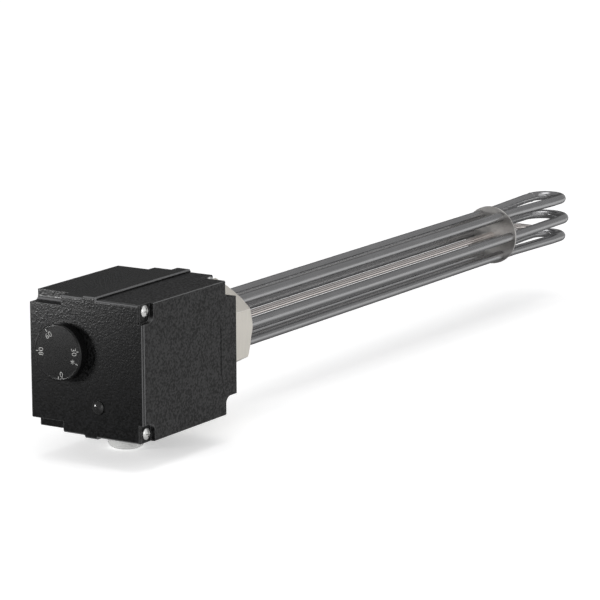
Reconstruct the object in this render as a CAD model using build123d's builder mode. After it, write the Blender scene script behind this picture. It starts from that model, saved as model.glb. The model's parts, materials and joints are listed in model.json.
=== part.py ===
"""Screw-in immersion heater: a terminal head with a thermostat, a hexagon fitting and three hairpin tubes.

The origin is the centre of the fitting's sealing face, on the thread's axis. +Y runs along the tubes,
away from the head, +Z is up, and the dial looks along -Y. All sizes are in millimetres.
"""
import os
from math import asin, cos, radians, sin

from build123d import *

os.makedirs("parts", exist_ok=True)

# Terminal head
head_width = 92.6
head_height = 94.2
head_depth = 112.6
head_back_gap = 43.2      # from the head's back to the sealing face
axis_rise = 0.55          # the thread's axis lies this far above the head's middle
wall = 2.5
edge_round = 1.7
cover_edge_round = 0.9
slim_width = 27.0         # left zone, whose four long edges are stepped down
slim_front_step = 9.3
slim_back_step = 11.2
slim_step_top = 6.3
slim_step_bottom = 8.1
slim_step_round = 3.0
middle_width = 17.0
middle_back_step = 2.3
shell_rise = 0.75         # top of the left zones above the cover's top
shell_lift = 0.5          # their bottom above the cover's bottom
rim_width = 11.4
rim_rise_top = 2.05
rim_rise_bottom = 1.2
rim_bevel = 0.9
seam_groove = 0.5         # V-groove along the front wall's seam with the cover

# Cover recesses and screws
recess_y = 13.6
recess_z = 12.9
recess_round = 5.0
front_recess_depth = 3.5
back_recess_depth = 19.4
front_screw_inset = 7.0
back_screw_inset = 5.05
top_screw_inset = 4.6
bottom_screw_inset = 6.3
cover_post_radius = 4.4
cover_screw_radius = 2.0
cover_screw_head_radius = 4.0
cover_screw_head_height = 2.8
cover_screw_grip = 9.0    # length held in the housing's post

# Nuts and clearances
nut_bevel = 0.5           # slope of the nuts' turned corners
thread_clearance = 0.05
hole_clearance = 0.25
slip_clearance = 0.05
running_clearance = 0.05

# Dial knob and thermostat
knob_x = -17.2
knob_z = 9.5
knob_radius = 19.4
knob_stand = 8.2          # knob's face in front of the head's front
knob_gap = 0.5
knob_wall = 2.0
knob_bevel = 0.8
knob_lip = 0.7            # ring left round the shallow dial face
knob_face_depth = 0.15
knob_hub_radius = 6.0
knob_screw_gap = 0.6      # thermostat screw heads inside the knob's wall
spindle_radius = 3.0
spindle_flat = 0.8
spindle_collar_radius = 4.6
spindle_collar_width = 1.0
bush_radius = 4.75
yoke_width = 34.0
yoke_height = 38.0
yoke_thickness = 1.5
yoke_arm_length = 12.0
thermostat_width = 30.0
thermostat_height = 34.0
thermostat_depth = 24.0
thermostat_round = 2.0
thermostat_bevel = 1.0
thermostat_screw_radius = 1.5
blade_rise = 8.0          # blades above the spindle's axis
blade_width = 6.3
blade_thickness = 0.8
blade_length = 8.0
blade_pitch = 16.0

# Pilot lamp
lamp_x = 9.7
lamp_z = -26.35
lens_radius = 4.8
lens_flange = 0.8
lens_dome = 2.2
lamp_stem_radius = 4.0
lamp_stem_bore = 3.0
lamp_stem_length = 9.0
lamp_nut_flats = 12.0
lamp_nut_height = 2.5
lamp_plug_length = 9.0
lamp_blade_width = 2.8
lamp_blade_pitch = 3.6

# Cable gland, under the head
gland_side = 37.7         # from the head's left side
gland_inset = 57.4        # from the head's front
gland_pad_radius = 14.0
gland_thread_radius = 9.9
gland_bore_radius = 6.5
gland_flats = 24.0
gland_hex_height = 5.0
gland_nut_height = 14.2
gland_nut_rise = 0.4      # the nut's flats outside the body's
gland_nut_mouth = 8.8
gland_nut_dome = 6.0
gland_oring_radius = 1.0
gland_locknut_flats = 24.0
gland_locknut_height = 4.0
gland_spigot_end = 2.0    # spigot beyond the locknut
gland_seal_height = 8.0
gland_seal_wall = 2.2

# Hexagon fitting
hex_flats = 60.0
hex_turn = -3.3           # first facet's normal, in degrees from +X
hex_length = 22.0
hex_chamfer_radius = 29.8
hex_chamfer_slope = 0.6
collar_radius = 29.4
chamber_radius = 22.0
chamber_depth = 27.5
thread_radius = 23.9      # G 1 1/2
thread_length = 12.0
thread_bevel = 1.4
gasket_thickness = 1.0
flange_boss_depth = 13.4
flange_boss_radius = 30.6
flange_screw_circle = 25.9
flange_screw_angles = (90, 150, 210, 270)
flange_screw_radius = 2.0
flange_screw_head_radius = 3.8
flange_screw_head_height = 2.6
flange_screw_grip = 10.0
flange_hole_end = 1.0     # hole beyond the screw's end
earth_tag_angle = 210
tag_thickness = 0.8
tag_radius = 3.8

# Heating elements
tube_radius = 3.7
tube_circle = 18.0
leg_stand = 23.4          # tube ends inside the head, from its back
tip_y = 503.0
side_bend_radius = 12.8   # top and bottom hairpins
middle_bend_radius = 17.2
splay_start = 416.0
splay_end = 474.0
splay_round = 60.0
seal_radius = 2.7
seal_depth = 8.0
seal_flange_radius = 3.5
seal_flange = 1.5
stud_neck_radius = 1.2
stud_radius = 2.0
stud_length = 12.0
stud_nut_flats = 7.0
stud_nut_height = 3.2
link_thickness = 1.0
link_width = 9.0

# Spacer disc and sensor tube
disc_y = 393.8
disc_radius = 23.2
disc_thickness = 1.2
sensor_radius = 2.6
sensor_wall = 0.5
sensor_stand = 17.4       # its open end inside the head
sensor_bend_y = 434.0
sensor_bend_angle = 11.0
sensor_tail = 37.0
sensor_bend_radius = 40.0
bulb_radius = 1.5
bulb_length = 110.0
bulb_end_y = 383.0
capillary_radius = 0.75
capillary_stand = 37.4    # where the capillary turns, from the head's back
capillary_turn = 12.0
capillary_drop = 6.0      # below the spindle's axis at the thermostat
capillary_bend = 6.0

# Terminal block
block_side_gap = 3.0      # between the block and the housing's left wall
block_inset = 61.0        # from the head's front
block_width = 16.0
block_length = 36.0
block_height = 15.0
block_pad = 2.0
block_poles = 3
block_pitch = 11.0
block_wire_radius = 2.0
block_wire_rise = 6.75    # wire holes above the block's foot
block_well_radius = 2.4
block_well_depth = 8.25
block_well_offset = 4.5
block_bevel = 0.8
block_fixing_offset = -3.5
clamp_screw_radius = 1.5
clamp_screw_length = 3.0
clamp_head_height = 1.6
block_fixing_radius = 1.5
small_head_radius = 2.8
small_head_height = 2.0

# Inner wiring
wire_radius = 1.1
wire_bend = 3.5
lead_radius = 0.8         # lamp leads
lead_bend = 2.5
riser_gap = 4.5           # rising wires beside the terminal block
push_on_width = 7.6
push_on_height = 2.6
push_on_length = 9.0
push_on_gap = 0.5
lead_offset = 2.2
load_offset = -1.5
wire_run = 15.0           # straight out of a push-on terminal
tag_neck = 3.0
tag_reach = 9.0
barrel_radius = 1.6
barrel_length = 4.0
tag_drop = 8.0            # wire's loop beyond a ring tag

# Derived places
left_x = -head_width / 2
right_x = head_width / 2
block_x = left_x + wall + block_side_gap + block_width / 2
slim_x = left_x + slim_width
middle_x = slim_x + middle_width
parting_x = middle_x + rim_width
head_back = -head_back_gap
head_front = head_back - head_depth
middle_back = head_back - middle_back_step
gland_x = left_x + gland_side
gland_y = head_front + gland_inset
block_y = head_front + block_inset
leg_start = head_back - leg_stand
sensor_start = head_back - sensor_stand
capillary_rise_y = head_back - capillary_stand
cover_top = head_height / 2 - axis_rise
cover_bottom = -head_height / 2 - axis_rise
shell_top = cover_top + shell_rise
shell_bottom = cover_bottom + shell_lift
inner_front = head_front + wall
inner_bottom = cover_bottom + wall
inner_top = cover_top - wall
front_recess_floor = right_x - front_recess_depth
back_recess_floor = right_x - back_recess_depth
cover_screw_z = (cover_bottom + bottom_screw_inset, cover_top - top_screw_inset)
front_screw_y = head_front + front_screw_inset
back_screw_y = head_back - back_screw_inset
thermostat_screw_pitch = 2 * (knob_radius - knob_wall - knob_screw_gap - small_head_radius)
boss_front = head_back - flange_boss_depth
window_radius = chamber_radius
collar_front = head_back + gasket_thickness
chamber_floor = collar_front + chamber_depth
leg_places = [(tube_circle * cos(radians(a)), tube_circle * sin(radians(a))) for a in range(0, 360, 60)]
flange_places = [
    (flange_screw_circle * cos(radians(a)), flange_screw_circle * sin(radians(a)))
    for a in flange_screw_angles
]
floor_seat = cover_bottom - rim_rise_bottom


def at_y(y):
    """The plane across the thread's axis at y: its local axes are X and Z, and its normal is -Y."""
    return Plane.XZ.offset(-y)


def dome_middle(edge_radius, rise):
    """Radius and height of the middle of an arc from a round edge up to the axis, which it meets squarely."""
    sphere = (edge_radius**2 + rise**2) / (2 * rise)
    half = asin(edge_radius / sphere) / 2
    return sphere * sin(half), rise - sphere * (1 - cos(half))


def pan_screw(head_radius, head_height, shank_radius, length):
    """A pan-head screw with a cross recess: the head's seat is on XY and the shank runs down -Z."""
    with BuildPart() as screw:
        rise = 0.55 * head_height
        shoulder = (head_radius, head_height - rise)
        middle_radius, middle_rise = dome_middle(head_radius, rise)
        with BuildSketch(Plane.XZ):
            with BuildLine():
                Polyline(
                    (0, head_height),
                    (0, -length),
                    (0.75 * shank_radius, -length),
                    (shank_radius, -length + 0.5 * shank_radius),
                    (shank_radius, 0),
                    (head_radius, 0),
                    shoulder,
                )
                ThreePointArc(shoulder, (middle_radius, shoulder[1] + middle_rise), (0, head_height))
            make_face()
        revolve(axis=Axis.Z)
        with BuildSketch(Plane.XY.offset(head_height)):
            Rectangle(1.15 * head_radius, 0.24 * head_radius)
            Rectangle(0.24 * head_radius, 1.15 * head_radius)
        extrude(amount=-0.5 * head_height, mode=Mode.SUBTRACT)
    return screw.part


def hex_nut(flats, height, bore_radius, bevel=0.0):
    """A hexagon nut that stands on XY, bevelled at its far end."""
    with BuildPart() as nut:
        with BuildSketch():
            RegularPolygon(flats / 2, 6, major_radius=False)
            Circle(bore_radius, mode=Mode.SUBTRACT)
        extrude(amount=height)
        if bevel > 0:
            with BuildSketch(Plane.XZ):
                corner = 0.6 * flats
                with BuildLine():
                    Polyline(
                        (flats / 2, height),
                        (corner, height),
                        (corner, height - (corner - flats / 2) * bevel),
                        close=True,
                    )
                make_face()
            revolve(axis=Axis.Z, mode=Mode.SUBTRACT)
    return nut.part


def save(builder, name):
    """Labels one finished piece and writes its file."""
    builder.part.label = name
    export_step(builder.part, f"parts/{name}.step")


# Outer form of the right side, which the front wall and the cover share
with BuildPart() as right_form:
    with BuildSketch(Plane.YZ.offset(middle_x)):
        with Locations(((head_front + head_back) / 2, (cover_bottom + cover_top) / 2)):
            RectangleRounded(head_depth, head_height, edge_round)
    extrude(amount=right_x - middle_x)
    fillet(right_form.faces().sort_by(Axis.X)[-1].edges(), cover_edge_round)
    for corner_y, depth in ((head_front, front_recess_depth), (head_back, back_recess_depth)):
        with BuildSketch(Plane.YZ.offset(right_x)):
            with Locations((corner_y, cover_bottom), (corner_y, cover_top)):
                RectangleRounded(2 * recess_y, 2 * recess_z, recess_round)
        extrude(amount=-depth, mode=Mode.SUBTRACT)

# Raised rim at the housing's open side, bevelled on both flanks
with BuildPart() as rim_form:
    rim_height = head_height + rim_rise_top + rim_rise_bottom
    rim_middle = (cover_bottom - rim_rise_bottom + cover_top + rim_rise_top) / 2
    with BuildSketch(Plane.YZ.offset(middle_x)):
        with Locations(((head_front + head_back) / 2, rim_middle)):
            RectangleRounded(head_depth, rim_height, edge_round)
    extrude(amount=rim_width)
    rim_faces = rim_form.faces().sort_by(Axis.X)
    chamfer(rim_faces[0].edges() + rim_faces[-1].edges(), rim_bevel)

# Front wall beside the rim, the full width of the head
with BuildPart() as front_wall:
    add(right_form.part)
    split(bisect_by=at_y(inner_front), keep=Keep.TOP)

# V-grooves where the front wall meets the cover
with BuildPart() as seam_form:
    with BuildSketch(Plane.XY.offset(cover_bottom - seam_groove)):
        with BuildLine():
            Polyline(
                (right_x - seam_groove, inner_front),
                (right_x + seam_groove, inner_front - 2 * seam_groove),
                (right_x + seam_groove, inner_front + 2 * seam_groove),
                close=True,
            )
        make_face()
    extrude(amount=head_height + 2 * seam_groove)
    with BuildSketch(Plane.YZ.offset(parting_x)):
        for edge_z, outward in ((cover_top, seam_groove), (cover_bottom, -seam_groove)):
            with BuildLine():
                Polyline(
                    (inner_front, edge_z - outward),
                    (inner_front - 2 * seam_groove, edge_z + outward),
                    (inner_front + 2 * seam_groove, edge_z + outward),
                    close=True,
                )
            make_face()
    extrude(amount=right_x - parting_x)

# Housing: the left shell with the front wall
with BuildPart() as housing:
    shell_middle = ((head_front + middle_back) / 2, (shell_bottom + shell_top) / 2)
    slim_steps = [
        ((edge_y, edge_z), step_y, step_z)
        for edge_y, step_y in ((head_front, slim_front_step), (head_back, slim_back_step))
        for edge_z, step_z in ((cover_bottom, slim_step_bottom), (cover_top, slim_step_top))
    ]
    with BuildSketch(Plane.YZ.offset(left_x)):
        with Locations(shell_middle):
            RectangleRounded(middle_back - head_front, shell_top - shell_bottom, edge_round)
    extrude(amount=slim_width + middle_width)
    with BuildSketch(Plane.YZ.offset(left_x)):
        for place, step_y, step_z in slim_steps:
            with Locations(place):
                RectangleRounded(2 * step_y, 2 * step_z, slim_step_round)
    extrude(amount=slim_width, mode=Mode.SUBTRACT)
    fillet(housing.faces().sort_by(Axis.X)[0].edges(), edge_round)
    add(rim_form.part)

    # Room inside, with the outer steps followed at one wall's distance
    hollows = (
        (left_x + wall, slim_x + wall, middle_back - wall, True),
        (slim_x + wall, middle_x + wall, middle_back - wall, False),
        (middle_x + wall, parting_x, head_back - wall, False),
    )
    for start, end, inner_back, stepped in hollows:
        with BuildSketch(Plane.YZ.offset(start)):
            with Locations(((inner_front + inner_back) / 2, (inner_bottom + inner_top) / 2)):
                Rectangle(inner_back - inner_front, inner_top - inner_bottom)
            for place, step_y, step_z in slim_steps if stepped else ():
                with Locations(place):
                    Rectangle(2 * (step_y + wall), 2 * (step_z + wall), mode=Mode.SUBTRACT)
        extrude(amount=end - start, mode=Mode.SUBTRACT)
    add(front_wall.part)
    add(seam_form.part, mode=Mode.SUBTRACT)

    # Posts for the cover screws
    with BuildSketch(Plane.YZ.offset(middle_x)):
        with Locations(*[(y, z) for y in (front_screw_y, back_screw_y) for z in cover_screw_z]):
            Circle(cover_post_radius)
    extrude(amount=rim_width)
    with BuildSketch(Plane.YZ.offset(parting_x)):
        with Locations(*[(y, z) for y in (front_screw_y, back_screw_y) for z in cover_screw_z]):
            Circle(cover_screw_radius + thread_clearance)
    extrude(amount=-(cover_screw_grip + thread_clearance), mode=Mode.SUBTRACT)

    # Thick round boss that the fitting's collar is screwed to
    with BuildSketch(at_y(boss_front)):
        Circle(flange_boss_radius)
        with Locations((parting_x + flange_boss_radius, 0)):
            Rectangle(2 * flange_boss_radius, 2 * flange_boss_radius, mode=Mode.SUBTRACT)
    extrude(amount=-flange_boss_depth)
    with BuildSketch(at_y(boss_front - wall)):
        Circle(window_radius)
    extrude(amount=-(flange_boss_depth + 2 * wall), mode=Mode.SUBTRACT)
    with BuildSketch(at_y(boss_front)):
        with Locations(*flange_places):
            Circle(flange_screw_radius + hole_clearance)
    extrude(amount=-flange_boss_depth, mode=Mode.SUBTRACT)

    # Holes in the front wall: thermostat bush, its two screws, and the lamp's stem
    with BuildSketch(at_y(inner_front)):
        with Locations((knob_x, knob_z)):
            Circle(bush_radius + hole_clearance)
        with Locations(*[(knob_x, knob_z + side * thermostat_screw_pitch / 2) for side in (-1, 1)]):
            Circle(thermostat_screw_radius + hole_clearance)
        with Locations((lamp_x, lamp_z)):
            Circle(lamp_stem_radius + hole_clearance)
    extrude(amount=wall, mode=Mode.SUBTRACT)

    # Flat pad and hole for the cable gland
    with BuildSketch(Plane.XY.offset(floor_seat)):
        with Locations((gland_x, gland_y)):
            Circle(gland_pad_radius)
    extrude(amount=inner_bottom - floor_seat)
    with BuildSketch(Plane.XY.offset(floor_seat)):
        with Locations((gland_x, gland_y)):
            Circle(gland_thread_radius + hole_clearance)
    extrude(amount=inner_bottom - floor_seat, mode=Mode.SUBTRACT)

    # Pad under the terminal block, with its screw hole
    with BuildSketch(Plane.XY.offset(inner_bottom)):
        with Locations((block_x, block_y)):
            Rectangle(block_width, block_length)
    extrude(amount=block_pad)
    with BuildSketch(Plane.XY.offset(inner_bottom + block_pad)):
        with Locations((block_x + block_fixing_offset, block_y - block_pitch / 2)):
            Circle(block_fixing_radius + thread_clearance)
    extrude(amount=-(block_pad + 0.5 * wall), mode=Mode.SUBTRACT)
save(housing, "housing")

# Cover: right side, top, bottom and back in one cap
with BuildPart() as cover:
    add(right_form.part)
    split(bisect_by=at_y(inner_front), keep=Keep.BOTTOM)
    split(bisect_by=Plane.YZ.offset(parting_x), keep=Keep.TOP)
    all_posts = [(y, z) for y in (front_screw_y, back_screw_y) for z in cover_screw_z]
    front_posts = [(front_screw_y, z) for z in cover_screw_z]
    layers = (
        (parting_x, back_recess_floor - wall, (), all_posts),
        (back_recess_floor - wall, front_recess_floor - wall, (head_back,), front_posts),
        (front_recess_floor - wall, right_x - wall, (head_front, head_back), []),
    )
    for start, end, recessed, posts in layers:
        with BuildSketch(Plane.YZ.offset(start)):
            with Locations(((head_front + head_back - wall) / 2, (inner_bottom + inner_top) / 2)):
                Rectangle(head_depth - wall, inner_top - inner_bottom)
            for corner_y in recessed:
                with Locations((corner_y, cover_bottom), (corner_y, cover_top)):
                    Rectangle(2 * (recess_y + wall), 2 * (recess_z + wall), mode=Mode.SUBTRACT)
            if posts:
                with Locations(*posts):
                    Circle(cover_post_radius, mode=Mode.SUBTRACT)
        extrude(amount=end - start, mode=Mode.SUBTRACT)
    with BuildSketch(at_y(head_back - wall)):
        Circle(window_radius)
    extrude(amount=-wall, mode=Mode.SUBTRACT)
    for floor_x, place_y in ((front_recess_floor, front_screw_y), (back_recess_floor, back_screw_y)):
        with BuildSketch(Plane.YZ.offset(floor_x)):
            with Locations((place_y, cover_screw_z[0]), (place_y, cover_screw_z[1])):
                Circle(cover_screw_radius + hole_clearance)
        extrude(amount=-(floor_x - parting_x), mode=Mode.SUBTRACT)
    add(seam_form.part, mode=Mode.SUBTRACT)
save(cover, "cover")

# Cover screws, two long ones in front and two shorter ones behind
front_screw = pan_screw(
    cover_screw_head_radius,
    cover_screw_head_height,
    cover_screw_radius,
    front_recess_floor - parting_x + cover_screw_grip,
)
back_screw = pan_screw(
    cover_screw_head_radius,
    cover_screw_head_height,
    cover_screw_radius,
    back_recess_floor - parting_x + cover_screw_grip,
)
with BuildPart() as cover_screws:
    for screw, floor_x, place_y in (
        (front_screw, front_recess_floor, front_screw_y),
        (back_screw, back_recess_floor, back_screw_y),
    ):
        for place_z in cover_screw_z:
            with Locations(Plane(origin=(floor_x, place_y, place_z), x_dir=(0, 0, 1), z_dir=(1, 0, 0))):
                add(screw)
save(cover_screws, "cover_screws")

# Dial knob: a hollow cap with a hub for the flatted spindle
knob_face = head_front - knob_stand
knob_back = head_front - knob_gap
with BuildPart() as knob:
    with BuildSketch(at_y(knob_back)):
        with Locations((knob_x, knob_z)):
            Circle(knob_radius)
    extrude(amount=knob_back - knob_face)
    chamfer(knob.faces().sort_by(Axis.Y)[0].edges(), knob_bevel)
    with BuildSketch(at_y(knob_face)):
        with Locations((knob_x, knob_z)):
            Circle(knob_radius - knob_bevel - knob_lip)
    extrude(amount=-knob_face_depth, mode=Mode.SUBTRACT)
    with BuildSketch(at_y(knob_back)):
        with Locations((knob_x, knob_z)):
            Circle(knob_radius - knob_wall)
            Circle(knob_hub_radius, mode=Mode.SUBTRACT)
    extrude(amount=knob_back - knob_face - knob_wall, mode=Mode.SUBTRACT)
    with BuildSketch(at_y(knob_back)):
        with Locations((knob_x, knob_z)):
            Circle(spindle_radius + slip_clearance)
        with Locations((knob_x, knob_z + 2 * spindle_radius - spindle_flat + slip_clearance)):
            Rectangle(2.5 * spindle_radius, 2 * spindle_radius, mode=Mode.SUBTRACT)
    extrude(amount=knob_back - knob_face - knob_wall, mode=Mode.SUBTRACT)
save(knob, "knob")

# Thermostat spindle, flatted in the knob and collared behind the yoke
yoke_back = inner_front + yoke_thickness
spindle_front = knob_face + knob_wall + slip_clearance
with BuildPart() as thermostat_spindle:
    with BuildSketch(at_y(spindle_front)):
        with Locations((knob_x, knob_z)):
            Circle(spindle_radius)
        with Locations((knob_x, knob_z + 2 * spindle_radius - spindle_flat)):
            Rectangle(2.5 * spindle_radius, 2 * spindle_radius, mode=Mode.SUBTRACT)
    extrude(amount=-(knob_back - spindle_front))
    with BuildSketch(at_y(knob_back)):
        with Locations((knob_x, knob_z)):
            Circle(spindle_radius)
    extrude(amount=-(yoke_back + slip_clearance - knob_back))
    with BuildSketch(at_y(yoke_back + slip_clearance)):
        with Locations((knob_x, knob_z)):
            Circle(spindle_collar_radius)
    extrude(amount=-spindle_collar_width)
save(thermostat_spindle, "thermostat_spindle")

# Thermostat yoke: a plate behind the front wall, its bush and two bent arms
bush_front = head_front
with BuildPart() as thermostat_yoke:
    with BuildSketch(at_y(inner_front)):
        with Locations((knob_x, knob_z)):
            Rectangle(yoke_width, yoke_height)
    extrude(amount=-yoke_thickness)
    for side in (-1, 1):
        with BuildSketch(at_y(inner_front)):
            with Locations((knob_x + side * (yoke_width - yoke_thickness) / 2, knob_z)):
                Rectangle(yoke_thickness, yoke_height)
        extrude(amount=-yoke_arm_length)
    with BuildSketch(at_y(inner_front)):
        with Locations((knob_x, knob_z)):
            Circle(bush_radius)
    extrude(amount=inner_front - bush_front)
    with BuildSketch(at_y(bush_front)):
        with Locations((knob_x, knob_z)):
            Circle(spindle_radius + running_clearance)
        with Locations(*[(knob_x, knob_z + side * thermostat_screw_pitch / 2) for side in (-1, 1)]):
            Circle(thermostat_screw_radius + thread_clearance)
    extrude(amount=-(yoke_back - bush_front), mode=Mode.SUBTRACT)
save(thermostat_yoke, "thermostat_yoke")

# Thermostat body: a moulded block between the yoke's arms, with two blade terminals
body_room = spindle_collar_width + 2 * slip_clearance
with BuildPart() as thermostat_body:
    with BuildSketch(at_y(yoke_back)):
        with Locations((knob_x, knob_z)):
            RectangleRounded(thermostat_width, thermostat_height, thermostat_round)
    extrude(amount=-thermostat_depth)
    chamfer(thermostat_body.faces().sort_by(Axis.Y)[-1].edges(), thermostat_bevel)
    with BuildSketch(at_y(yoke_back)):
        with Locations((knob_x, knob_z)):
            Circle(spindle_collar_radius + running_clearance)
        with Locations(*[(knob_x, knob_z + side * thermostat_screw_pitch / 2) for side in (-1, 1)]):
            Circle(thermostat_screw_radius + hole_clearance)
    extrude(amount=-2 * body_room, mode=Mode.SUBTRACT)
save(thermostat_body, "thermostat_body")

thermostat_back = yoke_back + thermostat_depth
blade_places = [(knob_x + side * blade_pitch / 2, knob_z + blade_rise) for side in (-1, 1)]
with BuildPart() as thermostat_blades:
    with BuildSketch(at_y(thermostat_back)):
        with Locations(*blade_places):
            Rectangle(blade_width, blade_thickness)
    extrude(amount=-blade_length)
save(thermostat_blades, "thermostat_blades")

# Push-on terminals on the two blades
push_on_front = thermostat_back + push_on_gap
push_on_back = push_on_front + push_on_length
with BuildPart() as push_ons:
    with BuildSketch(at_y(push_on_front)):
        with Locations(*blade_places):
            Rectangle(push_on_width, push_on_height)
    extrude(amount=-push_on_length)
    with BuildSketch(at_y(push_on_front)):
        with Locations(*blade_places):
            Rectangle(blade_width + 2 * slip_clearance, blade_thickness + 2 * slip_clearance)
    extrude(amount=-(blade_length - push_on_gap + slip_clearance), mode=Mode.SUBTRACT)
save(push_ons, "push_ons")

# Thermostat screws, under the knob
thermostat_screw = pan_screw(
    small_head_radius, small_head_height, thermostat_screw_radius, wall + yoke_thickness
)
with BuildPart() as thermostat_screws:
    for side in (-1, 1):
        seat = (knob_x, head_front, knob_z + side * thermostat_screw_pitch / 2)
        with Locations(Plane(origin=seat, x_dir=(1, 0, 0), z_dir=(0, -1, 0))):
            add(thermostat_screw)
save(thermostat_screws, "thermostat_screws")

# Pilot lamp lens: dome, flange and hollow stem
lamp_axis = Axis((lamp_x, 0, lamp_z), (0, 1, 0))
lamp_plane = Plane(origin=(lamp_x, 0, lamp_z), z_dir=(0, 0, 1))
lens_face = head_front - lens_flange
stem_end = head_front + lamp_stem_length
with BuildPart() as lamp_lens:
    with BuildSketch(lamp_plane):
        with BuildLine():
            Polyline(
                (0, lens_face - lens_dome),
                (0, head_front),
                (lamp_stem_bore, head_front),
                (lamp_stem_bore, stem_end),
                (lamp_stem_radius, stem_end),
                (lamp_stem_radius, head_front),
                (lens_radius, head_front),
                (lens_radius, lens_face),
            )
            middle_radius, middle_rise = dome_middle(lens_radius, lens_dome)
            ThreePointArc(
                (lens_radius, lens_face),
                (middle_radius, lens_face - middle_rise),
                (0, lens_face - lens_dome),
            )
        make_face()
    revolve(axis=lamp_axis)
save(lamp_lens, "lamp_lens")

lamp_nut_form = hex_nut(lamp_nut_flats, lamp_nut_height, lamp_stem_radius + thread_clearance)
with BuildPart() as lamp_nut:
    with Locations(Plane(origin=(lamp_x, inner_front, lamp_z), x_dir=(1, 0, 0), z_dir=(0, 1, 0))):
        add(lamp_nut_form)
save(lamp_nut, "lamp_nut")

# Lamp body: a neon capsule in the stem on a plug with two small blades
with BuildPart() as lamp_body:
    with BuildSketch(at_y(head_front + lens_flange)):
        with Locations((lamp_x, lamp_z)):
            Circle(lamp_stem_bore - slip_clearance)
    extrude(amount=-(lamp_stem_length - lens_flange))
    with BuildSketch(at_y(stem_end)):
        with Locations((lamp_x, lamp_z)):
            Circle(lamp_stem_radius)
    extrude(amount=-lamp_plug_length)
    with BuildSketch(at_y(stem_end + lamp_plug_length)):
        with Locations(*[(lamp_x + side * lamp_blade_pitch / 2, lamp_z) for side in (-1, 1)]):
            Rectangle(blade_thickness, lamp_blade_width)
    extrude(amount=-blade_length)
save(lamp_body, "lamp_body")

# Cable gland body: hexagon, threaded spigot through the floor and compression cone
gland_hex_bottom = floor_seat - gland_hex_height
gland_spigot_top = inner_bottom + gland_locknut_height + gland_spigot_end
with BuildPart() as gland_body:
    with BuildSketch(Plane.XY.offset(gland_hex_bottom)):
        with Locations((gland_x, gland_y)):
            RegularPolygon(gland_flats / 2, 6, major_radius=False)
    extrude(amount=gland_hex_height)
    with BuildSketch(Plane.XY.offset(gland_hex_bottom - gland_seal_height)):
        with Locations((gland_x, gland_y)):
            Circle(gland_thread_radius)
    extrude(amount=gland_spigot_top - gland_hex_bottom + gland_seal_height)
    with BuildSketch(Plane.XY.offset(gland_hex_bottom - gland_seal_height)):
        with Locations((gland_x, gland_y)):
            Circle(gland_bore_radius)
    extrude(amount=gland_spigot_top - gland_hex_bottom + gland_seal_height, mode=Mode.SUBTRACT)
    with BuildSketch(Plane.XY.offset(gland_hex_bottom - gland_seal_height)):
        with Locations((gland_x, gland_y)):
            Circle(gland_bore_radius + gland_seal_wall)
    extrude(amount=gland_seal_height, mode=Mode.SUBTRACT)
    # Groove for the O-ring in the hexagon's seat
    with BuildSketch(Plane.XY.offset(floor_seat)):
        with Locations((gland_x, gland_y)):
            Circle(gland_thread_radius + 2 * gland_oring_radius)
            Circle(gland_thread_radius, mode=Mode.SUBTRACT)
    extrude(amount=-1.6 * gland_oring_radius, mode=Mode.SUBTRACT)
save(gland_body, "gland_body")

with BuildPart() as gland_oring:
    with BuildSketch(Plane.XY.offset(floor_seat)):
        with Locations((gland_x, gland_y)):
            Circle(gland_thread_radius + 1.9 * gland_oring_radius)
            Circle(gland_thread_radius + thread_clearance, mode=Mode.SUBTRACT)
    extrude(amount=-1.5 * gland_oring_radius)
save(gland_oring, "gland_oring")

# Rubber seal ring inside the gland
with BuildPart() as gland_seal:
    with BuildSketch(Plane.XY.offset(gland_hex_bottom - gland_seal_height)):
        with Locations((gland_x, gland_y)):
            Circle(gland_bore_radius + gland_seal_wall - slip_clearance)
            Circle(gland_bore_radius, mode=Mode.SUBTRACT)
    extrude(amount=gland_seal_height - slip_clearance)
save(gland_seal, "gland_seal")

# Gland nut: hexagon skirt that closes to a rounded mouth
gland_nut_bottom = gland_hex_bottom - gland_nut_height
gland_plane = Plane(origin=(gland_x, gland_y, 0), x_dir=(1, 0, 0), z_dir=(0, -1, 0))
gland_axis = Axis((gland_x, gland_y, 0), (0, 0, 1))
gland_nut_floor = gland_hex_bottom - gland_seal_height - slip_clearance
with BuildPart() as gland_nut:
    nut_skirt = gland_flats * 0.54
    with BuildSketch(gland_plane):
        with BuildLine():
            Polyline(
                (nut_skirt, gland_nut_bottom + gland_nut_dome),
                (nut_skirt, gland_hex_bottom),
                (gland_thread_radius + thread_clearance, gland_hex_bottom),
                (gland_thread_radius + thread_clearance, gland_nut_floor),
                (gland_bore_radius, gland_nut_floor),
                (gland_bore_radius, gland_nut_bottom),
                (gland_nut_mouth, gland_nut_bottom),
            )
            ThreePointArc(
                (gland_nut_mouth, gland_nut_bottom),
                (
                    gland_nut_mouth + 0.75 * (nut_skirt - gland_nut_mouth),
                    gland_nut_bottom + 0.35 * gland_nut_dome,
                ),
                (nut_skirt, gland_nut_bottom + gland_nut_dome),
            )
        make_face()
    revolve(axis=gland_axis)
    with BuildSketch(Plane.XY.offset(gland_nut_bottom)):
        with Locations((gland_x, gland_y)):
            RegularPolygon(gland_flats / 2 + gland_nut_rise, 6, major_radius=False)
    extrude(amount=gland_nut_height, mode=Mode.INTERSECT)
save(gland_nut, "gland_nut")

gland_locknut_form = hex_nut(
    gland_locknut_flats, gland_locknut_height, gland_thread_radius + thread_clearance, nut_bevel
)
with BuildPart() as gland_locknut:
    with Locations((gland_x, gland_y, inner_bottom)):
        add(gland_locknut_form)
save(gland_locknut, "gland_locknut")

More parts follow.
